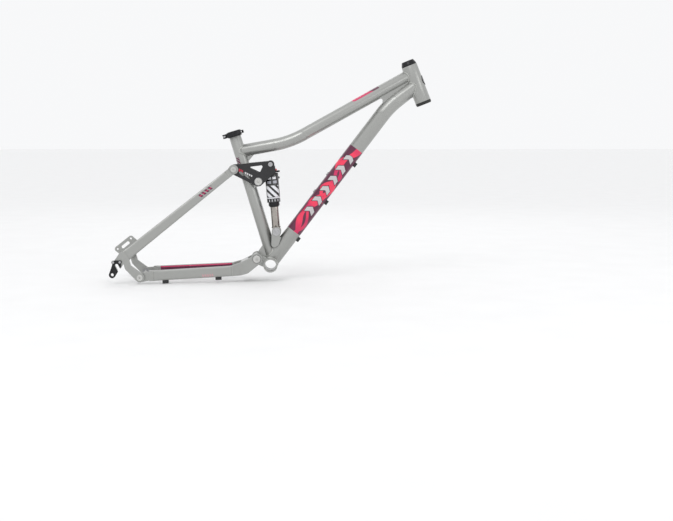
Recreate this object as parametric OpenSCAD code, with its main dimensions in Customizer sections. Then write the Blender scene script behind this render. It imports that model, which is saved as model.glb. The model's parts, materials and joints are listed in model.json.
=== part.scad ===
// Full-suspension mountain bike frame with a Horst-link rear end and a rocker-driven air shock.
// Millimetres. The origin is the bottom bracket's centre, +X points forward, +Y to the rider's
// left and +Z up. The drive side is -Y. The frame is drawn with the suspension fully extended.

/* [Frame layout] */
// Horizontal distance from the bottom bracket to the head tube's top centre
reach = 410; // [395:1:450]
// Height of the head tube's top centre above the bottom bracket
stack = 587; // [570:1:620]
// Angle between the head tube and the ground
head_angle = 68.4; // [67:0.1:71]
// Length of the head tube
head_tube_length = 113; // [105:1:135]
// Angle between the seat tube and the ground
seat_angle = 73.1; // [72:0.1:74.5]
// Length of the seat tube, measured from the bottom bracket's level
seat_tube_length = 413; // [400:1:490]
// Distance of the seat tube's foot in front of the bottom bracket
seat_tube_foot = 11.2; // [8:0.1:13]
// Horizontal distance from the bottom bracket to the rear axle
chainstay_length = 444; // [435:1:465]
// Height of the rear axle above the bottom bracket
rear_axle_height = 6; // [0:1:12]

/* [Main tubes] */
// Outside diameter of the head tube
head_tube_od = 46.6; // [46:0.1:50]
// Outside diameter of the seat tube
seat_tube_od = 34.9; // [34.5:0.1:36]
// Diameter of the seatpost that the seat tube takes
seatpost_bore = 30.9; // [27.2:0.1:31.6]
// Outside diameter of the top tube
top_tube_od = 36.3; // [32:0.1:38]
// Outside diameter of the down tube
down_tube_od = 45.6; // [42:0.1:46]
// Wall thickness of the top tube and the down tube
tube_wall = 2; // [1.4:0.1:3]
// Height of the top tube's joint along the seat tube
top_tube_joint = 350.7; // [335:0.1:365]
// Slope of the top tube behind its bend
top_tube_rear_slope = 10.2; // [6:0.1:14]
// Length of the top tube behind its bend
top_tube_rear_length = 151; // [140:1:180]
// Radius of the top tube's bend at its centre line
top_tube_bend = 290; // [200:1:320]
// Distance of the top tube's joint below the top of the head tube
top_tube_drop = 25.4; // [24:0.1:28]
// Distance of the down tube's joint below the top of the head tube
down_tube_drop = 59.3; // [57:0.1:64]
// Slope of the down tube where it meets the head tube
down_tube_front_slope = 38; // [34:0.1:44]
// Length of the down tube in front of its bend
down_tube_front_length = 104; // [90:1:120]
// Radius of the down tube's bend at its centre line
down_tube_bend = 249; // [200:1:300]
// Distance of the down tube's foot behind the bottom bracket
down_tube_foot = 6; // [4:0.1:8]

/* [Bottom bracket and bottle mount] */
// Width of the bottom bracket shell
shell_width = 73; // [73:1:83]
// Outside diameter of the bottom bracket shell
shell_od = 42; // [40:0.1:44]
// Bore of the bottom bracket shell, at the crests of its thread
shell_bore = 33.7; // [33.6:0.1:35]
// Distance between the two bottle bosses
bottle_spacing = 64; // [60:1:74]
// Distance of the lower bottle boss along the down tube
bottle_start = 256; // [200:1:330]

/* [Suspension] */
// Distance of the main pivot behind the bottom bracket
main_pivot_back = 40; // [39:0.5:43]
// Height of the main pivot above the bottom bracket
main_pivot_height = 19; // [17:0.5:22]
// Distance of the Horst pivot in front of the rear axle
horst_forward = 66; // [62:1:70]
// Distance of the Horst pivot below the rear axle
horst_drop = 36; // [33:1:39]
// Height of the rocker pivot along the seat tube
rocker_pivot_height = 249.6; // [245:0.1:255]
// Distance of the rocker pivot in front of the seat tube's centre line
rocker_pivot_forward = 27.6; // [27:0.1:30]
// Length of the rocker's rear arm, from its pivot to the seatstay
rocker_rear_arm = 80.7; // [77:0.1:83]
// Direction of the rocker's rear arm
rocker_rear_angle = 153.9; // [151:0.1:156]
// Length of the rocker's front arm, from its pivot to the shock
rocker_front_arm = 61.8; // [60:0.1:64]
// Direction of the rocker's front arm
rocker_front_angle = 54.9; // [53:0.1:57]
// Length of the extended shock between the centres of its eyes
shock_length = 200; // [196:1:203]
// Lean of the shock from the vertical, foot forward
shock_lean = 4.9; // [4:0.1:6]
// Bore of the bearings in the main pivot and the rocker pivot
pivot_bearing_bore = 15; // [12:0.5:15]
// Outside diameter of those bearings
pivot_bearing_od = 24; // [22:0.5:24]
// Radial clearance of a shaft that turns in its bearing
running_gap = 0.05; // [0.02:0.01:0.09]
// Radial room that the shock's lower bolt has in its bracket
shock_float = 3.7; // [3.6:0.1:4.2]

/* [Rear end] */
// Distance between the inner faces of the dropouts
hub_width = 135; // [135:1:142]
// Diameter of the rear axle
axle_diameter = 10; // [9:0.5:12]
// Thickness of a dropout plate
dropout_thickness = 7.5; // [6:0.5:9]
// Height of a seatstay at its upper end
seatstay_top_height = 22.5; // [20:0.5:23]
// Height of a seatstay at its lower end
seatstay_bottom_height = 30.5; // [28:0.5:32]
// Width of the stays
stay_width = 16; // [14:0.5:17]
// Height of a chainstay
chainstay_height = 30; // [26:0.5:32]
// Wall thickness of the stays
stay_wall = 1.8; // [1.2:0.1:3]
// Thickness of a rocker plate
rocker_thickness = 7; // [6:0.5:8]
// Thickness of a seatstay's pivot lug
seatstay_lug_thickness = 8.5; // [7:0.5:9]

/* [Shock] */
// Outside diameter of the air can
can_od = 39.6; // [37:0.1:40]
// Diameter of the damper shaft
shaft_diameter = 23.8; // [20:0.1:24]
// Outside diameter of the shock's eyes
eye_od = 22; // [20:0.5:24]
// Width of the shock's eyes
eye_width = 22; // [20:0.5:24]
// Diameter of the shock's bolts
shock_bolt = 8; // [6:0.5:8]

/* [Hidden] */
$fn = 96;

// Colours
SATIN_SILVER = [0.69, 0.70, 0.69];
PLAIN_ALLOY = [0.80, 0.81, 0.82];
BLACK = [0.07, 0.07, 0.08];
STEEL = [0.62, 0.63, 0.65];
RED = [0.75, 0.08, 0.12];

// Points and directions lie in the frame's middle plane and are written [x, z].
function heading(angle) = [cos(angle), sin(angle)];
function along(point, angle, distance) = point + distance * heading(angle);
function slope(from, to) = atan2(to[1] - from[1], to[0] - from[0]);
// Where the line from p at angle a meets the line from q at angle b
function meet(p, a, q, b) = along(p, a, cross(q - p, heading(b)) / cross(heading(a), heading(b)));

// Front triangle
BB = [0, 0];
seat_foot = [seat_tube_foot, 0];
seat_up = 180 - seat_angle;
seat_front = 90 - seat_angle;
seat_top = along(seat_foot, seat_up, seat_tube_length);
head_top = [reach, stack];
head_down = -head_angle;
head_bottom = along(head_top, head_down, head_tube_length);
top_tube_rear = along(seat_foot, seat_up, top_tube_joint);
top_tube_corner = along(top_tube_rear, top_tube_rear_slope, top_tube_rear_length);
top_tube_front = along(head_top, head_down, top_tube_drop);
top_tube_front_slope = slope(top_tube_corner, top_tube_front);
down_tube_base = [-down_tube_foot, 0];
down_tube_front = along(head_top, head_down, down_tube_drop);
down_tube_corner = along(down_tube_front, 180 + down_tube_front_slope, down_tube_front_length);
down_tube_slope = slope(down_tube_base, down_tube_corner);
down_tube_start = 10;
top_tube_start = 7;
bend_slices = 96;
bend_step = 0.1;
bend_overlap = 2;

// Bearing seats and pivots
axle_r = pivot_bearing_bore / 2 - running_gap;
bearing_r = pivot_bearing_od / 2;
bearing_width = 6;
seat_gap = 0.05;
MAIN = [-main_pivot_back, main_pivot_height];
AXLE = [-chainstay_length, rear_axle_height];
HORST = AXLE + [horst_forward, -horst_drop];
ROCKER = along(along(seat_foot, seat_up, rocker_pivot_height), seat_front, rocker_pivot_forward);
STAY_TOP = along(ROCKER, rocker_rear_angle, rocker_rear_arm);
SHOCK_TOP = along(ROCKER, rocker_front_angle, rocker_front_arm);
shock_down = shock_lean - 90;
SHOCK_FOOT = along(SHOCK_TOP, shock_down, shock_length);

// Widths across the frame, each as half the width or a distance from the middle plane
lug_half = max(seat_tube_od, top_tube_od, can_od) / 2 + 0.2;
rocker_inner = lug_half + 0.5;
rocker_outer = rocker_inner + rocker_thickness;
stay_lug_inner = rocker_outer + 0.5;
stay_lug_outer = stay_lug_inner + seatstay_lug_thickness;
main_lug_half = 24.5;
yoke_inner = main_lug_half + 0.5;
yoke_outer = 36;
dropout_inner = hub_width / 2;
dropout_outer = dropout_inner + dropout_thickness;
horst_lug_outer = dropout_inner - 0.3;
horst_lug_inner = horst_lug_outer - 8.5;

// Pivot lugs
pivot_lug_r = 14.3;
stay_lug_r = 14;
yoke_boss_r = 17;
main_lug_r = 15;
horst_bolt_r = 5 - running_gap;
horst_bearing_bore_r = 5;
horst_bearing_r = 11;
rear_bolt_r = 3;

// Seatstays: stations are distances from the upper pivot along the stay
stay_start = 22;
STAY_END = AXLE + [20, 24];
stay_angle = slope(STAY_TOP, STAY_END);
stay_length = norm(STAY_END - STAY_TOP);
stay_top_centre = stay_lug_inner + stay_width / 2;
stay_bottom_centre = dropout_outer - 1 - stay_width / 2;
stay_splay = atan2(stay_bottom_centre - stay_top_centre, stay_length - stay_start);
bridge_station = 68;
bridge_r = 7;

// Chainstays
yoke_back = -112;
chainstay_drop = 14.3;
CHAINSTAY_FRONT = [yoke_back, -chainstay_drop];
CHAINSTAY_REAR = HORST + [36.4, 4.2];
chainstay_angle = slope(CHAINSTAY_FRONT, CHAINSTAY_REAR);
chainstay_tube_length = norm(CHAINSTAY_REAR - CHAINSTAY_FRONT);
tyre_half_width = 36.5;
chainstay_front_centre = tyre_half_width + stay_width / 2;
chainstay_rear_centre = horst_lug_outer - stay_width / 2 - 0.2;
chainstay_splay = atan2(chainstay_rear_centre - chainstay_front_centre, chainstay_tube_length);

// Shock stations are distances from the upper eye's centre along the shock
can_r = can_od / 2;
can_wall = 2.5;
can_top = 31;
can_bottom = 113;
seal_bottom = can_bottom + 11.6;
neck_r = 13;
shaft_r = shaft_diameter / 2;
piston_top = 86;
piston_length = 10;
lower_eye_top = shock_length - 14;
bushing_r = 7.5;
bushing_bore_r = 6.35;
shock_bolt_r = shock_bolt / 2;
bracket_inner = 16.5;
bracket_outer = 23.2;
bracket_r = 14;

// Seat collar, in the seat tube's own frame with its top at zero
collar_height = 16;
collar_top = -1;
collar_r = seat_tube_od / 2 + 4;
clamp_back = collar_r + 6.5;
clamp_level = collar_top - collar_height / 2;
cam_side = 15.5;

// ---------------------------------------------------------------- helpers

// Moves children from a flat XZ drawing to the slab between y0 and y1
module slab(y0, y1) {
    translate([0, y1, 0])
        rotate([90, 0, 0])
            linear_extrude(y1 - y0) children();
}

// A round bar along Y through a point of the middle plane
module cross_bar(point, radius, y0, y1) {
    translate([point[0], y0, point[1]])
        rotate([-90, 0, 0]) cylinder(r = radius, h = y1 - y0);
}

// A ring along Y
module cross_ring(point, radius, bore, y0, y1) {
    difference() {
        cross_bar(point, radius, y0, y1);
        cross_bar(point, bore, y0 - 1, y1 + 1);
    }
}

// Places children so that their X axis leaves the point at the angle
module leave(point, angle) {
    translate([point[0], 0, point[1]])
        rotate([0, -angle, 0]) children();
}

// Places children so that their Z axis leaves the point at the angle
module stand(point, angle) {
    translate([point[0], 0, point[1]])
        rotate([0, 90 - angle, 0]) children();
}

// A round bar in the middle plane
module bar(point, angle, radius, from, to) {
    leave(point, angle)
        translate([from, 0, 0])
            rotate([0, 90, 0]) cylinder(r = radius, h = to - from);
}

// Flat outline of two discs joined by their outer tangents
module link(p1, r1, p2, r2) {
    reach_angle = slope(p1, p2);
    lean = acos((r1 - r2) / norm(p2 - p1));
    a = heading(reach_angle + lean);
    b = heading(reach_angle - lean);
    polygon([p1 + r1 * a, p1 + r1 * b, p2 + r2 * b, p2 + r2 * a]);
    translate(p1) circle(r1);
    translate(p2) circle(r2);
}

// Both sides of a part that is drawn on the left
module both_sides() {
    children();
    mirror([0, 1, 0]) children();
}

// A round bar of two straight lengths joined by a bend at the corner; the bend is a hair
// thicker and the straight lengths reach a little way into it
module bent_bar(from, corner, to, bend, radius, start) {
    first = slope(from, corner);
    second = slope(corner, to);
    turn = second - first;
    tangent = bend * tan(abs(turn) / 2);
    side = turn > 0 ? 1 : -1;
    bend_start = along(corner, first + 180, tangent);
    centre = along(bend_start, first + 90 * side, bend);
    bar(from, first, radius, start, norm(corner - from) - tangent + bend_overlap);
    translate([centre[0], 0, centre[1]])
        rotate([90, 0, 0])
            rotate([0, 0, min(first, second) - 90 * side])
                rotate_extrude(angle = abs(turn), $fn = bend_slices)
                    translate([bend, 0]) circle(radius + bend_step);
    bar(corner, second, radius, tangent - bend_overlap, norm(to - corner));
}

// ---------------------------------------------------------------- front triangle shapes

module head_tube_shape(radius) {
    stand(head_bottom, 180 - head_angle) cylinder(r = radius, h = head_tube_length);
}

module top_tube_shape(radius) {
    bent_bar(
        top_tube_rear, top_tube_corner, top_tube_front, top_tube_bend, radius, top_tube_start
    );
}

module down_tube_shape(radius) {
    bent_bar(
        down_tube_base, down_tube_corner, down_tube_front, down_tube_bend, radius, down_tube_start
    );
}

// The straight length of the down tube above the bottom bracket
module down_tube_foot_shape(radius) {
    bar(down_tube_base, down_tube_slope, radius, down_tube_start, 420);
}

module seat_tube_shape(radius, from) {
    bar(seat_foot, seat_up, radius, from, seat_tube_length);
}

module shell_shape() {
    cross_bar(BB, shell_od / 2, -shell_width / 2, shell_width / 2);
}

// ---------------------------------------------------------------- front triangle

bearing_seat_r = 20.95;
bearing_seat_depth = 7;

module head_tube() {
    color(SATIN_SILVER)
    difference() {
        head_tube_shape(head_tube_od / 2);
        stand(head_bottom, 180 - head_angle) {
            translate([0, 0, -1]) cylinder(r = 17.5, h = head_tube_length + 2);
            translate([0, 0, -1]) cylinder(r = bearing_seat_r, h = bearing_seat_depth + 1);
            translate([0, 0, head_tube_length - bearing_seat_depth])
                cylinder(r = bearing_seat_r, h = bearing_seat_depth + 1);
        }
    }
}

module top_tube() {
    color(SATIN_SILVER)
    difference() {
        top_tube_shape(top_tube_od / 2);
        top_tube_shape(top_tube_od / 2 - tube_wall);
        seat_tube_shape(seat_tube_od / 2, 0);
        head_tube_shape(head_tube_od / 2);
        down_tube_shape(down_tube_od / 2);
    }
}

// A hole across the down tube's upper wall, at a distance along it
module down_tube_drill(distance, radius, from, to) {
    leave(down_tube_base, down_tube_slope)
        translate([distance, 0, from]) cylinder(r = radius, h = to - from);
}

boss_thread_r = 2.1;
boss_r = 5.5;
boss_height = 2.6;

module down_tube() {
    color(SATIN_SILVER)
    difference() {
        down_tube_shape(down_tube_od / 2);
        down_tube_shape(down_tube_od / 2 - tube_wall);
        shell_shape();
        head_tube_shape(head_tube_od / 2);
        for (i = [0, 1])
            down_tube_drill(bottle_start + i * bottle_spacing, boss_thread_r, 5, down_tube_od);
    }
}

module bottle_bosses() {
    color(STEEL)
    difference() {
        for (i = [0, 1])
            down_tube_drill(
                bottle_start + i * bottle_spacing, boss_r,
                down_tube_od / 2 - 2, down_tube_od / 2 + boss_height
            );
        down_tube_foot_shape(down_tube_od / 2);
        for (i = [0, 1])
            down_tube_drill(bottle_start + i * bottle_spacing, boss_thread_r, 5, down_tube_od);
    }
}

seat_tube_start = 30;
// The seatpost's bore ends at this station, in a cone down to the tube's plain bore
reamed_from = 56.5;
ream_cone = 4;
plain_bore_r = seatpost_bore / 2 - 0.9;
seat_slot_depth = 34;
seat_slot_width = 2.5;

module seat_tube() {
    color(SATIN_SILVER)
    difference() {
        seat_tube_shape(seat_tube_od / 2, seat_tube_start);
        bar(seat_foot, seat_up, seatpost_bore / 2, reamed_from, seat_tube_length + 1);
        leave(seat_foot, seat_up)
            translate([reamed_from - ream_cone, 0, 0])
                rotate([0, 90, 0])
                    cylinder(r1 = plain_bore_r, r2 = seatpost_bore / 2, h = ream_cone);
        bar(seat_foot, seat_up, plain_bore_r, seat_tube_start - 1, reamed_from - ream_cone);
        shell_shape();
        down_tube_foot_shape(down_tube_od / 2);
        stand(seat_top, seat_up)
            translate([-seat_tube_od, -seat_slot_width / 2, -seat_slot_depth])
                cube([seat_tube_od, seat_slot_width, seat_slot_depth + 1]);
    }
}

module bottom_bracket_shell() {
    color(SATIN_SILVER)
    difference() {
        shell_shape();
        cross_bar(BB, shell_bore / 2, -shell_width, shell_width);
    }
}

gusset_half = 11;
crotch_r = 6;

module head_gusset() {
    crotch = meet(
        along(top_tube_front, top_tube_front_slope - 90, top_tube_od / 2 + crotch_r - 0.2),
        top_tube_front_slope,
        along(down_tube_base, down_tube_slope + 90, down_tube_od / 2 + crotch_r - 0.2),
        down_tube_slope
    );
    color(SATIN_SILVER)
    difference() {
        slab(-gusset_half, gusset_half)
            polygon([
                crotch,
                along(crotch, top_tube_front_slope + 90, top_tube_od / 2 + crotch_r),
                top_tube_front,
                down_tube_front,
                along(down_tube_corner, down_tube_front_slope, 20),
                along(crotch, down_tube_slope - 90, down_tube_od / 2 + crotch_r + 3)
            ]);
        top_tube_shape(top_tube_od / 2);
        down_tube_shape(down_tube_od / 2);
        head_tube_shape(head_tube_od / 2);
        // rounds the rear of the web
        cross_bar(crotch, crotch_r, -30, 30);
    }
}

seat_gusset_length = 62;
seat_gusset_height = 46;

module seat_gusset() {
    color(SATIN_SILVER)
    difference() {
        slab(-5, 5)
            polygon([
                top_tube_rear,
                along(top_tube_rear, top_tube_rear_slope, seat_gusset_length),
                along(top_tube_rear, seat_up + 180, seat_gusset_height)
            ]);
        bar(top_tube_rear, top_tube_rear_slope, top_tube_od / 2, 0, 100);
        seat_tube_shape(seat_tube_od / 2, 0);
    }
}

// Cradle for the shock's foot in the corner between the seat tube and the down tube
module shock_bracket() {
    rise = along(SHOCK_FOOT, -85, eye_od / 2 + shock_float + 1);
    color(PLAIN_ALLOY)
    difference() {
        union() {
            both_sides() slab(bracket_inner, bracket_outer)
                link(SHOCK_FOOT, bracket_r, SHOCK_FOOT + [-6, -37], 9);
            slab(-bracket_outer, bracket_outer)
                polygon([
                    rise + [-13, 0],
                    rise + [13, 0],
                    rise + [4, -26],
                    rise + [-10, -26]
                ]);
        }
        cross_bar(SHOCK_FOOT, shock_bolt_r + shock_float, -40, 40);
        seat_tube_shape(seat_tube_od / 2, 0);
        down_tube_foot_shape(down_tube_od / 2);
    }
}

module rocker_pivot_lug() {
    root = along(along(seat_foot, seat_up, rocker_pivot_height), seat_front, 7);
    color(SATIN_SILVER)
    difference() {
        union() {
            cross_bar(ROCKER, pivot_lug_r, -lug_half, lug_half);
            slab(-14, 14) link(ROCKER, pivot_lug_r - 1, root, pivot_lug_r + 1);
        }
        seat_tube_shape(seat_tube_od / 2, 0);
        cross_bar(ROCKER, axle_r + seat_gap, -40, 40);
    }
}

module main_pivot_lug() {
    lug_angle = slope(MAIN, BB);
    color(SATIN_SILVER)
    difference() {
        union() {
            cross_bar(MAIN, main_lug_r, -main_lug_half, main_lug_half);
            slab(-main_lug_half, main_lug_half)
                polygon([
                    along(MAIN, lug_angle + 90, main_lug_r),
                    along(BB, lug_angle + 90, 15),
                    along(BB, lug_angle - 90, 13),
                    along(MAIN, lug_angle - 90, main_lug_r)
                ]);
            // fin up the back of the seat tube
            slab(-9, 9)
                polygon([
                    MAIN + [-5, 13], MAIN + [-1, 13.5], MAIN + [15, 36],
                    MAIN + [28, 54], MAIN + [40, 54], [0, 10], [-20, 10]
                ]);
        }
        shell_shape();
        cross_bar(MAIN, axle_r + seat_gap, -40, 40);
        bar(seat_foot, seat_up, seat_tube_od / 2, 10, 120);
        down_tube_foot_shape(down_tube_od / 2);
    }
}

pivot_head_r = 10.7;
pivot_head_height = 3;
hex_r = 4;

// A pivot axle with a flat head and a hexagon socket at both ends
module headed_axle(point, radius, half, head_r) {
    difference() {
        union() {
            cross_bar(point, radius, -half, half);
            both_sides() cross_bar(point, head_r, half, half + pivot_head_height);
        }
        both_sides()
            translate([point[0], half - 3, point[1]])
                rotate([-90, 0, 0]) cylinder(r = hex_r, h = pivot_head_height + 4, $fn = 6);
    }
}

module main_pivot_axle() {
    color(STEEL) headed_axle(MAIN, axle_r, yoke_outer + 0.3, pivot_head_r + 0.5);
}

module rocker_pivot_axle() {
    color(STEEL) headed_axle(ROCKER, axle_r, rocker_outer + 0.3, pivot_head_r);
}

guide_stations = [112, 250, 390];
guide_length = 14;
guide_half = 6;
guide_height = 7;

module cable_guides() {
    color(BLACK)
    difference() {
        for (station = guide_stations)
            leave(down_tube_base, down_tube_slope)
                translate([
                    station - guide_length / 2, -guide_half, -down_tube_od / 2 - guide_height
                ])
                    cube([guide_length, 2 * guide_half, guide_height + 4]);
        down_tube_foot_shape(down_tube_od / 2);
        for (y = [-3, 3])
            leave(down_tube_base, down_tube_slope)
                translate([0, y, -down_tube_od / 2 - 4])
                    rotate([0, 90, 0]) cylinder(r = 2.1, h = 700);
    }
}

badge_rise = 1.3;

module head_badge() {
    badge_level = head_tube_length * 0.52;
    color(BLACK)
    intersection() {
        difference() {
            head_tube_shape(head_tube_od / 2 + badge_rise);
            head_tube_shape(head_tube_od / 2);
        }
        stand(head_bottom, 180 - head_angle)
            translate([0, 0, badge_level])
                rotate([0, 90, 0]) cylinder(r = 15, h = head_tube_od);
    }
}

steerer_r = 14.3;
compression_wall = 0.75;
bearing_inner_r = steerer_r + compression_wall + 2 * seat_gap;

// A cartridge bearing with its seals set back between the rings
module cartridge(bore, outer, width) {
    ring = (outer - bore) * 0.24;
    difference() {
        cylinder(r = outer, h = width);
        translate([0, 0, -1]) cylinder(r = bore, h = width + 2);
        for (z = [-1, width - 0.4])
            translate([0, 0, z])
                difference() {
                    cylinder(r = outer - ring, h = 1.4);
                    translate([0, 0, -1]) cylinder(r = bore + ring, h = 4);
                }
    }
}

module headset_bearings() {
    color(STEEL)
    stand(head_bottom, 180 - head_angle) {
        translate([0, 0, 0.3])
            cartridge(bearing_inner_r, bearing_seat_r - seat_gap, bearing_seat_depth - 0.5);
        translate([0, 0, head_tube_length - bearing_seat_depth + 0.2])
            cartridge(bearing_inner_r, bearing_seat_r - seat_gap, bearing_seat_depth - 0.5);
    }
}

module compression_ring() {
    color(PLAIN_ALLOY)
    stand(head_top, 180 - head_angle)
        translate([0, 0, -bearing_seat_depth + 0.5])
            difference() {
                cylinder(r = bearing_inner_r - seat_gap, h = bearing_seat_depth - 0.6);
                translate([0, 0, -1]) cylinder(r = steerer_r + seat_gap, h = 20);
            }
}

cover_height = 15;

module headset_cover() {
    color(BLACK)
    stand(head_top, 180 - head_angle)
        rotate_extrude()
            polygon([
                [steerer_r + 0.2, 3], [steerer_r + 0.2, cover_height],
                [17.2, cover_height], [18, cover_height - 0.8],
                [22.2, 4], [22.5, 3], [22.5, 0], [20.5, 0]
            ]);
}

seal_height = 9;

module lower_headset_seal() {
    color(BLACK)
    stand(head_bottom, 180 - head_angle)
        rotate_extrude()
            polygon([
                [bearing_inner_r, -seal_height], [bearing_inner_r, -1],
                [21.5, -1], [21.5, 0], [23.2, 0], [23.2, -5.5], [21.5, -seal_height]
            ]);
}

// ---------------------------------------------------------------- seat collar

ear_inner = 1.4;
ear_outer = 8;
skewer_r = 2.9;

module seat_collar() {
    color(BLACK)
    stand(seat_top, seat_up)
    difference() {
        union() {
            translate([0, 0, collar_top - collar_height]) cylinder(r = collar_r, h = collar_height);
            translate([-clamp_back - 6, -ear_outer, collar_top - collar_height + 2])
                cube([clamp_back, 2 * ear_outer, collar_height - 4]);
        }
        translate([0, 0, -40]) cylinder(r = seat_tube_od / 2 + seat_gap, h = 80);
        translate([-clamp_back - 10, -ear_inner, -40]) cube([clamp_back + 10, 2 * ear_inner, 80]);
        translate([-clamp_back, 40, clamp_level])
            rotate([90, 0, 0]) cylinder(r = skewer_r + seat_gap, h = 80);
    }
}

cam_pin_r = 2.2;
cam_eye_r = 4.4;
cam_eye_half = 2.4;

module collar_skewer() {
    color(STEEL)
    stand(seat_top, seat_up)
    difference() {
        union() {
            translate([-clamp_back, 17, clamp_level])
                rotate([90, 0, 0]) cylinder(r = skewer_r, h = 17 + cam_side);
            translate([-clamp_back, -cam_side, clamp_level - cam_eye_half])
                cylinder(r = cam_eye_r, h = 2 * cam_eye_half);
        }
        translate([-clamp_back, -cam_side, clamp_level - 10])
            cylinder(r = cam_pin_r + running_gap, h = 20);
    }
}

module collar_nut() {
    nut_r = 6.5;
    flutes = 16;
    color(BLACK)
    stand(seat_top, seat_up)
        translate([-clamp_back, ear_outer + 0.1, clamp_level])
            rotate([-90, 0, 0])
                difference() {
                    cylinder(r = nut_r, h = 7);
                    translate([0, 0, -1]) cylinder(r = skewer_r + seat_gap, h = 20);
                    for (i = [0 : flutes - 1])
                        rotate([0, 0, i * 360 / flutes])
                            translate([nut_r + 0.35, 0, -1]) cylinder(r = 0.7, h = 20);
                }
}

lever_r = collar_r + 7.5;
lever_wall = 4;
lever_half = 4.5;
cam_r = 6.4;
cam_half = 6;

module quick_release_lever() {
    pivot_angle = atan2(-cam_side, -clamp_back) + 360;
    slot_half = max(cam_eye_half, skewer_r) + 0.3;
    color(BLACK)
    stand(seat_top, seat_up) {
        difference() {
            union() {
                translate([-clamp_back, -cam_side, clamp_level - cam_half])
                    cylinder(r = cam_r, h = 2 * cam_half);
                translate([0, 0, clamp_level - lever_half])
                    rotate([0, 0, pivot_angle + 7])
                        rotate_extrude(angle = 126, $fn = bend_slices)
                            translate([lever_r - lever_wall / 2, 0])
                                square([lever_wall, 2 * lever_half]);
            }
            // room for the skewer's eye, open behind so that the lever can swing
            translate([-clamp_back, -cam_side, clamp_level - slot_half])
                cylinder(r = cam_eye_r + 0.4, h = 2 * slot_half);
            translate([-clamp_back - 20, -cam_side - 20, clamp_level - slot_half])
                cube([23.4, 40, 2 * slot_half]);
            // finger loop near the tip
            translate([0, 0, clamp_level - 2])
                rotate([0, 0, pivot_angle + 96])
                    rotate_extrude(angle = 26, $fn = bend_slices)
                        translate([lever_r - lever_wall, 0]) square([3 * lever_wall, 4]);
        }
        translate([-clamp_back, -cam_side, clamp_level - cam_half + 0.4])
            cylinder(r = cam_pin_r, h = 2 * cam_half - 0.8);
    }
}

// ---------------------------------------------------------------- chainstays

chainstay_run = chainstay_tube_length / cos(chainstay_splay);

// Places children in the left chainstay's own frame, with X along it from its front end
module on_chainstay() {
    leave(CHAINSTAY_FRONT, chainstay_angle)
        translate([0, chainstay_front_centre, 0])
            rotate([0, 0, chainstay_splay]) children();
}

// A block across a stay, in the stay's own frame
module stay_block(from, to, width, height) {
    translate([from, -width / 2, -height / 2]) cube([to - from, width, height]);
}

module left_chainstay() {
    color(SATIN_SILVER)
    on_chainstay()
        difference() {
            stay_block(0, chainstay_run, stay_width, chainstay_height);
            stay_block(
                -1, chainstay_run + 1,
                stay_width - 2 * stay_wall, chainstay_height - 2 * stay_wall
            );
        }
}

module right_chainstay() {
    mirror([0, 1, 0]) left_chainstay();
}

// Yoke outline seen from above, left half from front to back
yoke_front = MAIN[0] + yoke_boss_r + 1;
bridge_front = MAIN[0] - 26;
bridge_back = -87;
yoke_end = yoke_back - 3;
yoke_half = [
    [bridge_front, yoke_inner],
    [yoke_front, yoke_inner],
    [yoke_front, yoke_outer],
    [bridge_back, yoke_outer],
    [yoke_end, chainstay_front_centre + stay_width / 2],
    [yoke_end, tyre_half_width],
    [bridge_back - 9, tyre_half_width - 1],
    [bridge_back, yoke_inner + 5]
];
yoke_plan = concat(
    yoke_half,
    [for (i = [len(yoke_half) - 1 : -1 : 0]) [yoke_half[i][0], -yoke_half[i][1]]]
);

module yoke_side() {
    translate(MAIN) circle(yoke_boss_r);
    polygon([
        MAIN + yoke_boss_r * heading(72),
        [bridge_back, -chainstay_drop + chainstay_height / 2 + 9],
        [yoke_end, -chainstay_drop + chainstay_height / 2],
        [yoke_end, -chainstay_drop - chainstay_height / 2],
        [bridge_back, -chainstay_drop - chainstay_height / 2],
        [bridge_front, -chainstay_drop - chainstay_height / 2 + 6],
        MAIN + yoke_boss_r * heading(-60)
    ]);
}

module chainstay_yoke() {
    color(SATIN_SILVER)
    difference() {
        intersection() {
            slab(-70, 70) yoke_side();
            translate([0, 0, -80]) linear_extrude(160) polygon(yoke_plan);
        }
        cross_bar(MAIN, bearing_r, -70, 70);
        both_sides() on_chainstay() stay_block(-seat_gap, 30, 50, 50);
        // window through the cross member
        slab(-20, 20)
            translate([(bridge_front + bridge_back) / 2, -chainstay_drop + 4]) circle(6);
    }
}

module main_pivot_bearings() {
    color(STEEL)
    both_sides()
        translate([MAIN[0], yoke_inner + 2, MAIN[1]])
            rotate([-90, 0, 0])
                cartridge(pivot_bearing_bore / 2, bearing_r - seat_gap, bearing_width + 2);
}

lug_block = 11;

module left_chainstay_lug() {
    difference() {
        union() {
            slab(horst_lug_inner, horst_lug_outer)
                link(HORST, stay_lug_r, CHAINSTAY_REAR + [-3, 0], 12);
            on_chainstay()
                stay_block(
                    chainstay_run + seat_gap, chainstay_run + lug_block,
                    stay_width - 0.2, chainstay_height - 0.2
                );
        }
        on_chainstay()
            stay_block(chainstay_run - 30, chainstay_run + seat_gap, 40, 40);
        cross_bar(HORST, horst_bearing_r, 0, 100);
    }
}

module chainstay_lugs() {
    color(SATIN_SILVER) both_sides() left_chainstay_lug();
}

module horst_bearings() {
    color(STEEL)
    both_sides()
        translate([HORST[0], horst_lug_inner + 0.8, HORST[1]])
            rotate([-90, 0, 0])
                cartridge(horst_bearing_bore_r, horst_bearing_r - seat_gap, bearing_width + 1);
}

chainstay_guide_stations = [32, 186];

module chainstay_cable_guides() {
    color(BLACK)
    mirror([0, 1, 0])
    on_chainstay()
        for (station = chainstay_guide_stations)
            translate([station, 0, chainstay_height / 2])
                difference() {
                    translate([0, -5, 0]) cube([18, 10, 9]);
                    translate([-1, 0, 5]) rotate([0, 90, 0]) cylinder(r = 2.6, h = 30);
                }
}

// ---------------------------------------------------------------- seatstays and dropouts

seatstay_run = (stay_length - stay_start) / cos(stay_splay);

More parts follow.
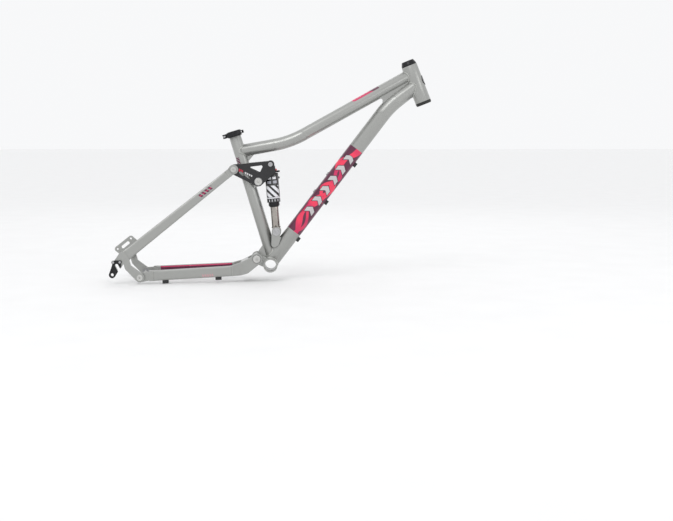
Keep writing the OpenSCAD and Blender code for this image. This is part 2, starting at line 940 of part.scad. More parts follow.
// Places children in the left seatstay's own frame, with X along it from its upper end
module on_seatstay() {
    leave(STAY_TOP, stay_angle)
        translate([stay_start, stay_top_centre, 0])
            rotate([0, 0, stay_splay]) children();
}

// The stay grows taller towards the dropout
module seatstay_shape(shrink, extra) {
    grow = (seatstay_bottom_height - seatstay_top_height) / 2 / seatstay_run;
    top = seatstay_top_height / 2 - shrink - extra * grow;
    bottom = seatstay_bottom_height / 2 - shrink + extra * grow;
    width = stay_width - 2 * shrink;
    on_seatstay()
        translate([0, width / 2, 0])
            rotate([90, 0, 0])
                linear_extrude(width)
                    polygon([
                        [-extra, -top], [seatstay_run + extra, -bottom],
                        [seatstay_run + extra, bottom], [-extra, top]
                    ]);
}

module left_seatstay() {
    color(SATIN_SILVER)
    difference() {
        seatstay_shape(0, 0);
        seatstay_shape(stay_wall, 1);
    }
}

module right_seatstay() {
    mirror([0, 1, 0]) left_seatstay();
}

module left_seatstay_lug() {
    neck = stay_start - rear_head_r - 3;
    difference() {
        union() {
            slab(stay_lug_inner, stay_lug_outer)
                link(STAY_TOP, stay_lug_r, along(STAY_TOP, stay_angle, stay_start - 9), 10.5);
            on_seatstay()
                stay_block(-neck, -seat_gap, stay_width - 0.2, seatstay_top_height - 0.2);
        }
        on_seatstay() stay_block(-seat_gap, 30, 40, 40);
        slab(0, stay_lug_inner - 0.2) translate(STAY_TOP) square(120, center = true);
        cross_bar(STAY_TOP, rear_bolt_r + seat_gap, 0, 100);
    }
}

module seatstay_lugs() {
    color(SATIN_SILVER) both_sides() left_seatstay_lug();
}

module seatstay_bridge() {
    color(SATIN_SILVER)
    difference() {
        cross_bar(along(STAY_TOP, stay_angle, bridge_station), bridge_r, -38, 38);
        both_sides() seatstay_shape(0, 0);
    }
}

notch_angle = -62;
axle_lug_r = 14;
ARM_KNEE = AXLE + [32, -6];

// The axle's slot, open below and in front, a hair narrower than the seat that it leads to
module axle_notch(y0, y1) {
    mouth = axle_diameter - 0.2;
    cross_bar(AXLE, axle_diameter / 2, y0, y1);
    slab(y0, y1)
        translate(AXLE)
            rotate(notch_angle)
                translate([0, -mouth / 2]) square([40, mouth]);
}

module left_dropout_blank() {
    difference() {
        union() {
            slab(dropout_inner, dropout_outer)
                link(STAY_END + [-3, 2], seatstay_bottom_height / 2 - 2, AXLE, axle_lug_r);
            slab(dropout_inner, dropout_outer)
                link(STAY_END + [5, -4], 9.5, ARM_KNEE, 9.5);
            slab(dropout_inner, dropout_outer)
                link(ARM_KNEE, 9.5, HORST, stay_lug_r - 0.5);
            // head that closes the seatstay's end
            on_seatstay()
                stay_block(
                    seatstay_run + seat_gap, seatstay_run + 8,
                    stay_width - 0.2, seatstay_bottom_height - 2
                );
        }
        seatstay_shape(-seat_gap, seat_gap);
        axle_notch(0, 100);
        cross_bar(HORST, horst_bolt_r + seat_gap, 0, 100);
    }
}

module left_dropout() {
    color(SATIN_SILVER) left_dropout_blank();
}

HANGER_HOLE = AXLE + [-13, -27];
HANGER_SCREWS = [AXLE + [-10, 9.5], AXLE + [9.5, 10]];
hanger_screw_r = 1.9;
hanger_thickness = 4.5;
hanger_thread_r = 4.5;

module right_dropout() {
    color(SATIN_SILVER)
    mirror([0, 1, 0])
        difference() {
            left_dropout_blank();
            for (screw = HANGER_SCREWS)
                cross_bar(screw, hanger_screw_r + seat_gap, 0, 100);
        }
}

module derailleur_hanger() {
    color(BLACK)
    mirror([0, 1, 0])
    difference() {
        union() {
            slab(dropout_outer, dropout_outer + hanger_thickness)
                link(HANGER_SCREWS[0], 5, HANGER_SCREWS[1], 5);
            slab(dropout_outer, dropout_outer + hanger_thickness)
                link(AXLE, 12.5, HANGER_HOLE, 9.5);
            cross_bar(HANGER_HOLE, 9.2, dropout_outer - 4, dropout_outer + 1);
        }
        cross_bar(HANGER_HOLE, hanger_thread_r, 0, 100);
        axle_notch(0, 100);
        for (screw = HANGER_SCREWS)
            cross_bar(screw, hanger_screw_r + seat_gap, 0, 100);
    }
}

module hanger_bolts() {
    color(STEEL)
    mirror([0, 1, 0])
        for (screw = HANGER_SCREWS) {
            outer = dropout_outer + hanger_thickness;
            difference() {
                union() {
                    cross_bar(screw, hanger_screw_r, dropout_inner + 0.5, outer);
                    cross_bar(screw, 3.4, outer, outer + 1.8);
                }
                translate([screw[0], outer, screw[1]])
                    rotate([-90, 0, 0]) cylinder(r = 1.5, h = 5, $fn = 6);
            }
        }
}

brake_spacing = 51;
BRAKE_CENTRE = along(along(AXLE, stay_angle - 180, 32), stay_angle - 90, 38);
BRAKE_HOLES = [
    along(BRAKE_CENTRE, stay_angle, brake_spacing / 2),
    along(BRAKE_CENTRE, stay_angle, -brake_spacing / 2)
];
brake_hole_r = 3;
brake_inner = 60;
brake_thickness = 7;

module brake_mount() {
    root_line = along(BRAKE_CENTRE, stay_angle + 90, 30);
    color(SATIN_SILVER)
    difference() {
        slab(brake_inner, brake_inner + brake_thickness) difference() {
            union() {
                link(BRAKE_HOLES[0], 8.5, BRAKE_HOLES[1], 8.5);
                polygon([
                    along(BRAKE_HOLES[0], stay_angle, 8.4),
                    along(root_line, stay_angle, 27),
                    along(root_line, stay_angle, -40),
                    along(BRAKE_HOLES[1], stay_angle, -8.4)
                ]);
            }
            for (hole = BRAKE_HOLES) translate(hole) circle(brake_hole_r);
            link(
                along(along(BRAKE_CENTRE, stay_angle + 90, 5), stay_angle, 9), 4.5,
                along(along(BRAKE_CENTRE, stay_angle + 90, 5), stay_angle, -11), 4.5
            );
            translate(AXLE) circle(axle_lug_r + 8);
        }
        seatstay_shape(-seat_gap, seat_gap);
        slab(0, 100)
            link(STAY_END + [-3, 2], seatstay_bottom_height / 2 - 1.9, AXLE, axle_lug_r + 0.1);
        on_seatstay()
            stay_block(
                seatstay_run - 1, seatstay_run + 8.1, stay_width, seatstay_bottom_height - 1.8
            );
    }
}

horst_head_r = 9;

module horst_bolts() {
    color(STEEL)
    both_sides()
    difference() {
        union() {
            cross_bar(HORST, horst_bolt_r, horst_lug_inner + 0.3, dropout_outer);
            cross_bar(HORST, horst_head_r, dropout_outer, dropout_outer + pivot_head_height);
        }
        translate([HORST[0], dropout_outer - 3, HORST[1]])
            rotate([-90, 0, 0]) cylinder(r = 3, h = 20, $fn = 6);
    }
}

rear_head_r = 8.5;

module rear_rocker_bolts() {
    color(STEEL)
    both_sides()
    difference() {
        union() {
            cross_bar(STAY_TOP, rear_bolt_r, rocker_inner + 0.3, stay_lug_outer);
            cross_bar(STAY_TOP, rear_head_r, stay_lug_outer, stay_lug_outer + pivot_head_height);
        }
        translate([STAY_TOP[0], stay_lug_outer - 1, STAY_TOP[1]])
            rotate([-90, 0, 0]) cylinder(r = 2, h = 20, $fn = 6);
    }
}

// ---------------------------------------------------------------- rocker

// Two windows lighten each plate: a slot towards the seatstay and a triangle under the top edge
module rocker_windows() {
    rear_dir = slope(ROCKER, STAY_TOP);
    top_dir = slope(SHOCK_TOP, STAY_TOP);
    slot_front = along(ROCKER, rear_dir, 23);
    slot_rear = along(STAY_TOP, rear_dir + 180, 21);
    front = along(SHOCK_TOP, top_dir, 27) + [0, -3];
    rear = along(SHOCK_TOP, top_dir, 58) + [0, -1.5];
    low = along(SHOCK_TOP, top_dir, 33) + [0, -16];
    link(slot_rear + [1, -1], 4.5, slot_front + [-1, 0], 4);
    link(front, 3.5, rear, 2.5);
    link(front, 3.5, low, 3);
    link(low, 3, rear, 2.5);
    polygon([front, rear, low]);
}

rocker_front_r = 9.5;
rocker_chin = [6, -18.5];

module rocker_web(y0, y1) {
    chin = SHOCK_TOP + rocker_chin;
    slab(y0, y1) link(ROCKER, pivot_lug_r, STAY_TOP, stay_lug_r);
    slab(y0, y1) link(STAY_TOP, stay_lug_r, SHOCK_TOP, rocker_front_r);
    slab(y0, y1) link(SHOCK_TOP, rocker_front_r, chin, rocker_front_r);
    slab(y0, y1) link(chin, rocker_front_r, ROCKER, pivot_lug_r);
    slab(y0, y1) polygon([ROCKER, STAY_TOP, SHOCK_TOP, chin]);
}

module left_rocker_blank() {
    difference() {
        rocker_web(rocker_inner, rocker_outer);
        slab(0, 100) rocker_windows();
        cross_bar(ROCKER, bearing_r, 0, 100);
        cross_bar(STAY_TOP, bearing_r, 0, 100);
        cross_bar(SHOCK_TOP, shock_bolt_r + seat_gap, 0, 100);
    }
}

module left_rocker_plate() {
    color(BLACK) left_rocker_blank();
}

module right_rocker_plate() {
    color(BLACK) mirror([0, 1, 0]) left_rocker_blank();
}

// A pair of cartridges, one in each plate
module plate_bearings(point) {
    both_sides()
        translate([point[0], (rocker_inner + rocker_outer - bearing_width) / 2, point[1]])
            rotate([-90, 0, 0])
                cartridge(pivot_bearing_bore / 2, bearing_r - seat_gap, bearing_width);
}

module rocker_bearings() {
    color(STEEL) plate_bearings(ROCKER);
}

module rear_rocker_bearings() {
    color(STEEL) plate_bearings(STAY_TOP);
}

// ---------------------------------------------------------------- shock

shock_head_r = 6.5;

// A shock bolt, and two reducers that fill the eye's bushing and space it from its ears
module shock_hardware(point, reducer_end, bolt_half, washer_r, washer_height) {
    half = bolt_half + washer_height;
    difference() {
        union() {
            cross_bar(point, shock_bolt_r, -half, half);
            both_sides() cross_bar(point, shock_head_r, half, half + 4);
            if (washer_height > 0)
                both_sides() cross_bar(point, washer_r, bolt_half, half);
        }
        both_sides()
            translate([point[0], half + 1, point[1]])
                rotate([-90, 0, 0]) cylinder(r = 3, h = 20, $fn = 6);
    }
    both_sides()
        difference() {
            union() {
                cross_bar(point, bushing_bore_r - running_gap, 0.2, eye_width / 2 + 0.3);
                cross_bar(point, 9, eye_width / 2 + 0.2, reducer_end);
            }
            cross_bar(point, shock_bolt_r + seat_gap, -1, 100);
        }
}

module upper_shock_hardware() {
    color(STEEL) shock_hardware(SHOCK_TOP, rocker_inner - 0.1, rocker_outer, 0, 0);
}

module lower_shock_hardware() {
    color(STEEL) shock_hardware(
        SHOCK_FOOT, bracket_inner - 0.4, bracket_outer + 0.4, shock_bolt_r + 2 * shock_float, 2
    );
}

// A turned part on the shock's own axis
module on_shock() {
    leave(SHOCK_TOP, shock_down)
        rotate([0, 90, 0]) children();
}

module shock_head() {
    color(BLACK)
    difference() {
        union() {
            cross_bar(SHOCK_TOP, eye_od / 2, -eye_width / 2, eye_width / 2);
            on_shock() translate([0, 0, 6]) cylinder(r = neck_r, h = can_top - 6 - 4);
            on_shock() translate([0, 0, can_top - 4]) cylinder(r = can_r, h = 4);
            on_shock() translate([0, 0, can_top - 1])
                cylinder(r = can_r - can_wall - seat_gap, h = 6);
        }
        cross_bar(SHOCK_TOP, bushing_r + seat_gap, -40, 40);
        both_sides() translate([SHOCK_TOP[0] - 30, eye_width / 2, SHOCK_TOP[1] - 13])
            cube([60, 20, 40]);
    }
}

module upper_eye_bushing() {
    color(STEEL)
        cross_ring(SHOCK_TOP, bushing_r, bushing_bore_r, -eye_width / 2, eye_width / 2);
}

module air_can() {
    color(BLACK)
    on_shock()
        translate([0, 0, can_top])
            difference() {
                cylinder(r = can_r, h = can_bottom - can_top);
                translate([0, 0, -1])
                    cylinder(r = can_r - can_wall, h = can_bottom - can_top + 2);
            }
}

module seal_head() {
    plug_r = can_r - can_wall - seat_gap;
    color(BLACK)
    on_shock()
        rotate_extrude()
            polygon([
                [shaft_r + running_gap, can_bottom - 8], [plug_r, can_bottom - 8],
                [plug_r, can_bottom + 0.1], [can_r - 3.6, can_bottom + 0.1],
                [can_r - 3.6, seal_bottom - 1.5], [can_r - 5.1, seal_bottom],
                [shaft_r + running_gap, seal_bottom]
            ]);
}

module travel_o_ring() {
    color(BLACK)
    on_shock()
        rotate_extrude()
            translate([shaft_r + running_gap, seal_bottom + 0.1]) square([1.6, 2.2]);
}

valve_station = 42;

module air_valve() {
    color(BLACK)
    difference() {
        on_shock()
            translate([0, 0, valve_station])
                rotate([0, 90, 140])
                    union() {
                        cylinder(r = 4.2, h = can_r + 2.5);
                        cylinder(r = 3.6, h = can_r + 7.5);
                    }
        on_shock() cylinder(r = can_r, h = can_bottom);
    }
}

dial_r = 17;
dial_top = 15;

module rebound_dial() {
    flutes = 24;
    color(RED)
    on_shock()
        translate([0, 0, dial_top])
            difference() {
                cylinder(r = dial_r, h = 5);
                translate([0, 0, -1]) cylinder(r = neck_r + running_gap, h = 7);
                for (i = [0 : flutes - 1])
                    rotate([0, 0, i * 360 / flutes])
                        translate([dial_r + 0.3, 0, -1]) cylinder(r = 0.9, h = 7);
            }
}

lever_tip = 25;

module lockout_lever() {
    color(BLACK)
    on_shock()
        translate([0, 0, dial_top + 5.3])
            difference() {
                union() {
                    cylinder(r = dial_r, h = 5.2);
                    // the tab points forward
                    rotate([0, 0, 180]) translate([dial_r - 3, -3, 0])
                        cube([lever_tip - dial_r + 3, 6, 5.2]);
                }
                translate([0, 0, -1]) cylinder(r = neck_r + running_gap, h = 8);
            }
}

module damper_shaft() {
    color(PLAIN_ALLOY)
    on_shock()
        translate([0, 0, piston_top + piston_length])
            cylinder(r = shaft_r, h = lower_eye_top - piston_top - piston_length);
}

module air_piston() {
    color(BLACK)
    on_shock()
        translate([0, 0, piston_top])
            cylinder(r = can_r - can_wall - running_gap, h = piston_length);
}

module lower_eye() {
    color(PLAIN_ALLOY)
    difference() {
        union() {
            cross_bar(SHOCK_FOOT, eye_od / 2, -eye_width / 2, eye_width / 2);
            on_shock() translate([0, 0, lower_eye_top]) cylinder(r = shaft_r - 1, h = 10);
            on_shock() translate([0, 0, lower_eye_top]) cylinder(r = shaft_r + 1.6, h = 3);
        }
        cross_bar(SHOCK_FOOT, bushing_r + seat_gap, -40, 40);
    }
}

module lower_eye_bushing() {
    color(STEEL)
        cross_ring(SHOCK_FOOT, bushing_r, bushing_bore_r, -eye_width / 2, eye_width / 2);
}

// ---------------------------------------------------------------- parts list

head_tube();
top_tube();
down_tube();
seat_tube();
bottom_bracket_shell();
head_gusset();
seat_gusset();
shock_bracket();
rocker_pivot_lug();
main_pivot_lug();
main_pivot_axle();
rocker_pivot_axle();
bottle_bosses();
cable_guides();
head_badge();
headset_bearings();
compression_ring();
headset_cover();
lower_headset_seal();
seat_collar();
collar_skewer();
collar_nut();
quick_release_lever();
chainstay_yoke();
right_chainstay();
left_chainstay();
chainstay_lugs();
main_pivot_bearings();
horst_bearings();
chainstay_cable_guides();
right_seatstay();
left_seatstay();
seatstay_lugs();
seatstay_bridge();
right_dropout();
left_dropout();
brake_mount();
derailleur_hanger();
hanger_bolts();
horst_bolts();
rear_rocker_bolts();
right_rocker_plate();
left_rocker_plate();
rocker_bearings();
rear_rocker_bearings();
upper_shock_hardware();
shock_head();
upper_eye_bushing();
air_can();
seal_head();
travel_o_ring();
air_valve();
rebound_dial();
lockout_lever();
damper_shaft();
air_piston();
lower_eye();
lower_eye_bushing();
lower_shock_hardware();
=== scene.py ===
"""Looks for the full-suspension bicycle frame: metallic silver paint with generic graphics, black anodised
rocker and air shock, welded joints, on a pale floor. Lengths in this file are millimetres unless noted."""

import json
import math

import bmesh
import bpy
import numpy as np
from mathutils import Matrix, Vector


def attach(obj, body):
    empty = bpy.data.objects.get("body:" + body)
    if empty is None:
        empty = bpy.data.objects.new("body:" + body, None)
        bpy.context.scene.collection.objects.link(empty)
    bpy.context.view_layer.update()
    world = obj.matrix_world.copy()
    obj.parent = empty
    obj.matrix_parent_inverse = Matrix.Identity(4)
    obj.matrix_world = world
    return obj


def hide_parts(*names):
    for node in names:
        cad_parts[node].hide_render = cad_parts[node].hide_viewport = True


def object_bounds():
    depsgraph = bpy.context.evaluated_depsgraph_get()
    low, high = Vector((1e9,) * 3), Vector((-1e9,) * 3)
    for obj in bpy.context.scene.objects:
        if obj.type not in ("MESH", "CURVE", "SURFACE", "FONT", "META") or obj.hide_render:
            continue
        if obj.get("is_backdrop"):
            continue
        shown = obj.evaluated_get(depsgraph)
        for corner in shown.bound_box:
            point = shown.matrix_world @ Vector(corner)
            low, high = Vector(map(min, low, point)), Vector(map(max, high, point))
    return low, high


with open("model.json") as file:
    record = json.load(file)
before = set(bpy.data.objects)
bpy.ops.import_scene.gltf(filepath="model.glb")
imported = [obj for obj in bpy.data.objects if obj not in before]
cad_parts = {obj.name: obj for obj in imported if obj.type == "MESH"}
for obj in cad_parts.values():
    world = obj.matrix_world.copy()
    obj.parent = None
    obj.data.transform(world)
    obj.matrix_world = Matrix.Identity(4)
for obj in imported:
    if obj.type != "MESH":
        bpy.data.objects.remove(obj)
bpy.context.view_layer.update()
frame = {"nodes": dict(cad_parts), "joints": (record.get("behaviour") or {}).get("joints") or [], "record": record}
NODES = frame["nodes"]
JOINTS = {row["name"]: row for row in frame["joints"]}
MOUNTS = {row["name"]: row for row in frame["record"]["mounts"]}
SLOT_OF = {row["node"]: row["material_slot"] for row in frame["record"]["subparts"]}
MM = 0.001
Y = Vector((0, 1, 0))


# ---------------------------------------------------------------- lines of the frame, in its middle plane
def heading(angle):
    """Unit vector at an angle in degrees, from forward towards up."""
    a = math.radians(angle)
    return Vector((math.cos(a), 0.0, math.sin(a)))


def slope(direction):
    """The angle of a direction, in degrees."""
    return math.degrees(math.atan2(direction[2], direction[0]))


def place_of(row):
    """Where a joint or a mount is."""
    return Vector(row["pos_m"]) / MM


# From the record: the bores' lines, the bosses' slope and the pivots.
SEAT_ANGLE = slope(MOUNTS["seatpost_bore"]["axis"])
SEAT_BORE = place_of(MOUNTS["seatpost_bore"])
SEAT_FOOT = SEAT_BORE - heading(SEAT_ANGLE) * (SEAT_BORE.z / heading(SEAT_ANGLE).z)
HEAD_FOOT = place_of(MOUNTS["crown_race_bore"])
HEAD_ANGLE = slope(MOUNTS["crown_race_bore"]["axis"])
DOWN_ANGLE = slope(MOUNTS["bottle_bosses"]["axis"]) - 90
ROCKER = place_of(JOINTS["rocker_pivot"])
SHOCK_TOP = place_of(JOINTS["upper_shock_eye"])
SHOCK_ANGLE = slope(JOINTS["shock_travel"]["axis"]) - 180

# The tubes' bends, the stays' fronts and the outer radii, which the record doesn't hold.
TOP_CORNER = Vector((57.86, 0, 362.29))
TOP_REAR_ANGLE = 10.2
TOP_FRONT_ANGLE = 29.09
DOWN_BASE = Vector((-6, 0, 0))
DOWN_CORNER = Vector((349.88, 0, 467.84))
DOWN_FRONT_ANGLE = 38.0
STAY_TOP = Vector((-107.42, 0, 282.35))
STAY_ANGLE = -141.44
CHAINSTAY_FRONT = Vector((-112, 0, -14.3))
CHAINSTAY_ANGLE = 182.87
HEAD_RADIUS = 23.3
TOP_RADIUS = 18.15
DOWN_RADIUS = 22.8
SEAT_RADIUS = 17.45
SHELL_RADIUS = 21.0
SHELL_INSIDE = 17.4  # parts the bore from the end faces
THREAD_PITCH = 1.06
BRIDGE_STATION = 68
BRIDGE_RADIUS = 7
BRIDGE_HALF_LENGTH = 31.2


# ---------------------------------------------------------------- materials
def linear(hex_colour):
    """A screen colour as the shaders' linear red, green, blue and alpha."""
    out = []
    for i in (0, 2, 4):
        c = int(hex_colour[i:i + 2], 16) / 255
        out.append(c / 12.92 if c <= 0.04045 else ((c + 0.055) / 1.055) ** 2.4)
    return (*out, 1.0)


SILVER = linear("a0a19e")
MAROON = linear("591c3b")
PINK = linear("ee3558")
DEEP_PINK = linear("c9205a")
CHEVRON_RIM = linear("3a1128")
CHEVRON = linear("c6c3c4")
FADED_PINK = linear("d78a96")
BORE_GREY = (0.30, 0.30, 0.29, 1)
PAINT_METAL = 0.62
INK_METAL = 0.12


class Shader:
    """A Principled material, with short names for the nodes that feed it. Masks run from 0 to 1."""

    EDGE = 4.0  # how steeply a mask rises, per mm

    def __init__(self, name):
        self.mat = bpy.data.materials.new(name)
        self.mat.use_nodes = True
        self.tree = self.mat.node_tree
        self.bsdf = self.tree.nodes["Principled BSDF"]
        self.where = self.add("ShaderNodeTexCoord").outputs["Object"]

    def add(self, kind, **settings):
        node = self.tree.nodes.new(kind)
        for key, value in settings.items():
            setattr(node, key, value)
        return node

    def feed(self, socket, value):
        if isinstance(value, bpy.types.NodeSocket):
            self.tree.links.new(value, socket)
        else:
            socket.default_value = value

    def math(self, op, a, b=0.0, c=0.0, clamp=False):
        node = self.add("ShaderNodeMath", operation=op, use_clamp=clamp)
        for socket, value in zip(node.inputs, (a, b, c)):
            self.feed(socket, value)
        return node.outputs[0]

    def along(self, origin, angle):
        """(station, offset) of the shaded point on a line in the middle plane; the offset is to its left."""
        out = []
        for direction in (heading(angle), heading(angle + 90)):
            dot = self.add("ShaderNodeVectorMath", operation="DOT_PRODUCT")
            self.feed(dot.inputs[0], self.where)
            dot.inputs[1].default_value = direction / MM
            out.append(self.math("SUBTRACT", dot.outputs["Value"], direction.dot(origin)))
        return out

    def side(self):
        """Distance to the left of the middle plane."""
        split = self.add("ShaderNodeSeparateXYZ")
        self.feed(split.inputs[0], self.where)
        return self.math("MULTIPLY", split.outputs["Y"], 1 / MM)

    def above(self, value, level):
        return self.math("MULTIPLY_ADD", self.math("SUBTRACT", value, level), self.EDGE, 0.5, clamp=True)

    def below(self, value, level):
        return self.math("MULTIPLY_ADD", self.math("SUBTRACT", value, level), -self.EDGE, 0.5, clamp=True)

    def near(self, value, centre, reach):
        """Mask of where value is within reach of centre."""
        return self.below(self.math("ABSOLUTE", self.math("SUBTRACT", value, centre)), reach)

    def all(self, *masks):
        out = masks[0]
        for mask in masks[1:]:
            out = self.math("MULTIPLY", out, mask)
        return out

    def either(self, *masks):
        out = masks[0]
        for mask in masks[1:]:
            out = self.math("MAXIMUM", out, mask)
        return out

    def saw(self, value, period):
        """Distance to the middle of each repeat, from 0 to half the period."""
        part = self.math("FLOORED_MODULO", value, period)
        return self.math("ABSOLUTE", self.math("SUBTRACT", part, period / 2))

    def mix(self, fac, a, b):
        node = self.add("ShaderNodeMix", data_type="RGBA")
        self.feed(node.inputs[0], fac)
        self.feed(node.inputs[6], a)
        self.feed(node.inputs[7], b)
        return node.outputs[2]

    def noise(self, scale, detail=2.0, stretch=None, rough=0.5):
        """Noise with this many cells per metre."""
        where = self.where
        if stretch:
            mapping = self.add("ShaderNodeMapping")
            self.feed(mapping.inputs["Vector"], where)
            mapping.inputs["Scale"].default_value = stretch
            where = mapping.outputs[0]
        node = self.add("ShaderNodeTexNoise")
        self.feed(node.inputs["Vector"], where)
        node.inputs["Scale"].default_value = scale
        node.inputs["Detail"].default_value = detail
        node.inputs["Roughness"].default_value = rough
        return node.outputs["Fac"]

    def spread(self, value, low, high, to_low, to_high):
        """Value's stretch from low to high, carried over to another range."""
        node = self.add("ShaderNodeMapRange")
        self.feed(node.inputs[0], value)
        for i, x in enumerate((low, high, to_low, to_high)):
            node.inputs[i + 1].default_value = x
        return node.outputs[0]

    def bump(self, height, distance, strength=1.0, normal=None):
        node = self.add("ShaderNodeBump")
        node.inputs["Strength"].default_value = strength
        node.inputs["Distance"].default_value = distance * MM
        self.feed(node.inputs["Height"], height)
        if normal is not None:
            self.feed(node.inputs["Normal"], normal)
        return node.outputs[0]

    def shine(self, **inputs):
        for key, value in inputs.items():
            self.feed(self.bsdf.inputs[key.replace("_", " ")], value)
        return self.mat


def paint(name, decorate=None, threads=None):
    """Satin metallic paint: fine flakes, slight orange peel and faint handling marks under clear coat.
    decorate gives (colour, mask of the ink or None); threads gives a height to cut into the surface."""
    s = Shader(name)
    flakes = s.noise(5200, 0.0)
    cloud = s.noise(9, 3.0)
    tone = s.math("ADD", s.spread(flakes, 0.3, 0.7, -0.03, 0.03), s.spread(cloud, 0.3, 0.7, -0.02, 0.02))
    base, ink = decorate(s) if decorate else (SILVER, None)
    metal = PAINT_METAL if ink is None else s.spread(ink, 0.0, 1.0, PAINT_METAL, INK_METAL)
    bright = s.add("ShaderNodeHueSaturation")
    s.feed(bright.inputs["Value"], s.math("ADD", tone, 1.0))
    s.feed(bright.inputs["Color"], base)
    marks = s.noise(60, 4.0, stretch=(1.0, 6.0, 1.0), rough=0.65)
    rough = s.math("ADD", s.spread(marks, 0.45, 0.75, 0.0, 0.10), s.spread(flakes, 0.3, 0.7, 0.29, 0.37))
    peel = s.bump(s.noise(150, 1.0), 0.015, 0.2)
    if threads:
        peel = s.bump(threads(s), 0.6, 0.8, peel)
    return s.shine(Base_Color=bright.outputs[0], Metallic=metal, Roughness=rough,
                   Coat_Weight=0.35, Coat_Roughness=0.12, Normal=peel)


def shell_bore(s):
    """Mask of the bottom bracket shell's inside."""
    run, off = s.along(Vector(), 0.0)
    out = s.math("SQRT", s.math("ADD", s.math("MULTIPLY", run, run), s.math("MULTIPLY", off, off)))
    return s.below(out, SHELL_INSIDE)


def shell_art(s):
    """Bare metal inside the shell."""
    return s.mix(shell_bore(s), SILVER, BORE_GREY), None


def shell_threads(s):
    """Threads at both ends of the shell, with a plain stretch between them."""
    turn = s.math("SINE", s.math("MULTIPLY", s.side(), 2 * math.pi / THREAD_PITCH))
    return s.all(shell_bore(s), turn, s.above(s.math("ABSOLUTE", s.side()), 12.0))


def top_tube_art(s):
    """A slanted two-colour stripe on top, near the head tube."""
    run, off = s.along(TOP_CORNER, TOP_FRONT_ANGLE)
    zone = s.all(s.near(run, 263, 44), s.above(off, 11.5))
    slant = s.math("MULTIPLY_ADD", off, 2.4, run)
    stripe = s.math("MULTIPLY", zone, s.near(slant, 300, 46))
    return s.mix(stripe, SILVER, s.mix(s.above(slant, 316), DEEP_PINK, MAROON)), stripe


def down_tube_art(s):
    """A maroon band with crossing pink ribbons and a row of silver chevrons."""
    run, off = s.along(DOWN_BASE, DOWN_ANGLE)
    zone = s.near(run, 277.5, 152.5)

    def wave(length, phase, height):
        turn = s.math("MULTIPLY_ADD", run, 2 * math.pi / length, phase)
        return s.math("MULTIPLY", s.math("SINE", turn), height)

    def ribbon(centre, reach):
        return s.near(s.math("SUBTRACT", off, centre), 0.0, reach)

    wide = s.math("ADD", 7.5, wave(71, 0.4, 3.0))
    one = ribbon(wave(176, 1.1, 13.0), wide)
    two = ribbon(wave(138, 3.9, 15.0), 4.6)
    three = s.all(ribbon(wave(96, 2.0, 12.0), 6.0), s.above(run, 240))
    pale = s.mix(s.spread(s.noise(22, 1.0), 0.4, 0.6, 0.0, 1.0), PINK, DEEP_PINK)
    art = s.mix(s.either(one, two, three), MAROON, pale)
    arrow = s.saw(s.math("MULTIPLY_ADD", s.math("ABSOLUTE", off), 0.75, run), 38.0)
    rim = s.all(s.near(run, 292, 112), s.near(off, 0.0, 14.5), s.below(arrow, 9.6))
    heart = s.all(s.near(run, 292, 111), s.near(off, 0.0, 13.2), s.below(arrow, 7.4))
    art = s.mix(rim, art, CHEVRON_RIM)
    art = s.mix(heart, art, CHEVRON)
    return s.mix(zone, SILVER, art), s.all(zone, s.math("SUBTRACT", 1.0, s.math("MULTIPLY", heart, 0.8)))


def seat_tube_art(s):
    """Slanted bars on the seat tube's rear side, above the rocker."""
    run, off = s.along(SEAT_FOOT, SEAT_ANGLE)
    bars = s.below(s.saw(s.math("SUBTRACT", run, off), 9.0), 3.3)
    mark = s.all(s.near(run, 323, 12), s.above(off, 6.5), bars)
    return s.mix(mark, SILVER, MAROON), mark


def seatstay_art(s):
    """Four slanted blocks with a bright line through them."""
    run, off = s.along(STAY_TOP, STAY_ANGLE)
    slant = s.math("MULTIPLY_ADD", off, 0.5, run)
    mark = s.all(s.near(run, 102, 23), s.near(off, 0.0, 5.6), s.below(s.saw(slant, 11.5), 3.7))
    return s.mix(mark, SILVER, s.mix(s.near(off, 0.0, 1.1), MAROON, DEEP_PINK)), mark


def chainstay_art(s):
    """A faint row of small bars, low on the side."""
    run, off = s.along(CHAINSTAY_FRONT, CHAINSTAY_ANGLE)
    slant = s.math("MULTIPLY_ADD", off, 0.35, run)
    mark = s.all(s.near(run, 72, 17), s.near(off, 8.5, 4.0), s.below(s.saw(slant, 7.0), 1.9))
    return s.mix(s.math("MULTIPLY", mark, 0.6), SILVER, FADED_PINK), mark


def left_chainstay_art(s):
    """A maroon panel with a bright top line on the inner side, which follows the stay's splay."""
    run, off = s.along(CHAINSTAY_FRONT, CHAINSTAY_ANGLE)
    splay = s.math("MULTIPLY_ADD", run, -0.0631, s.side())
    inner = s.all(s.below(splay, 38.6), s.near(run, 112, 108))
    return s.mix(inner, SILVER, s.mix(s.near(off, -12.0, 1.4), MAROON, DEEP_PINK)), inner


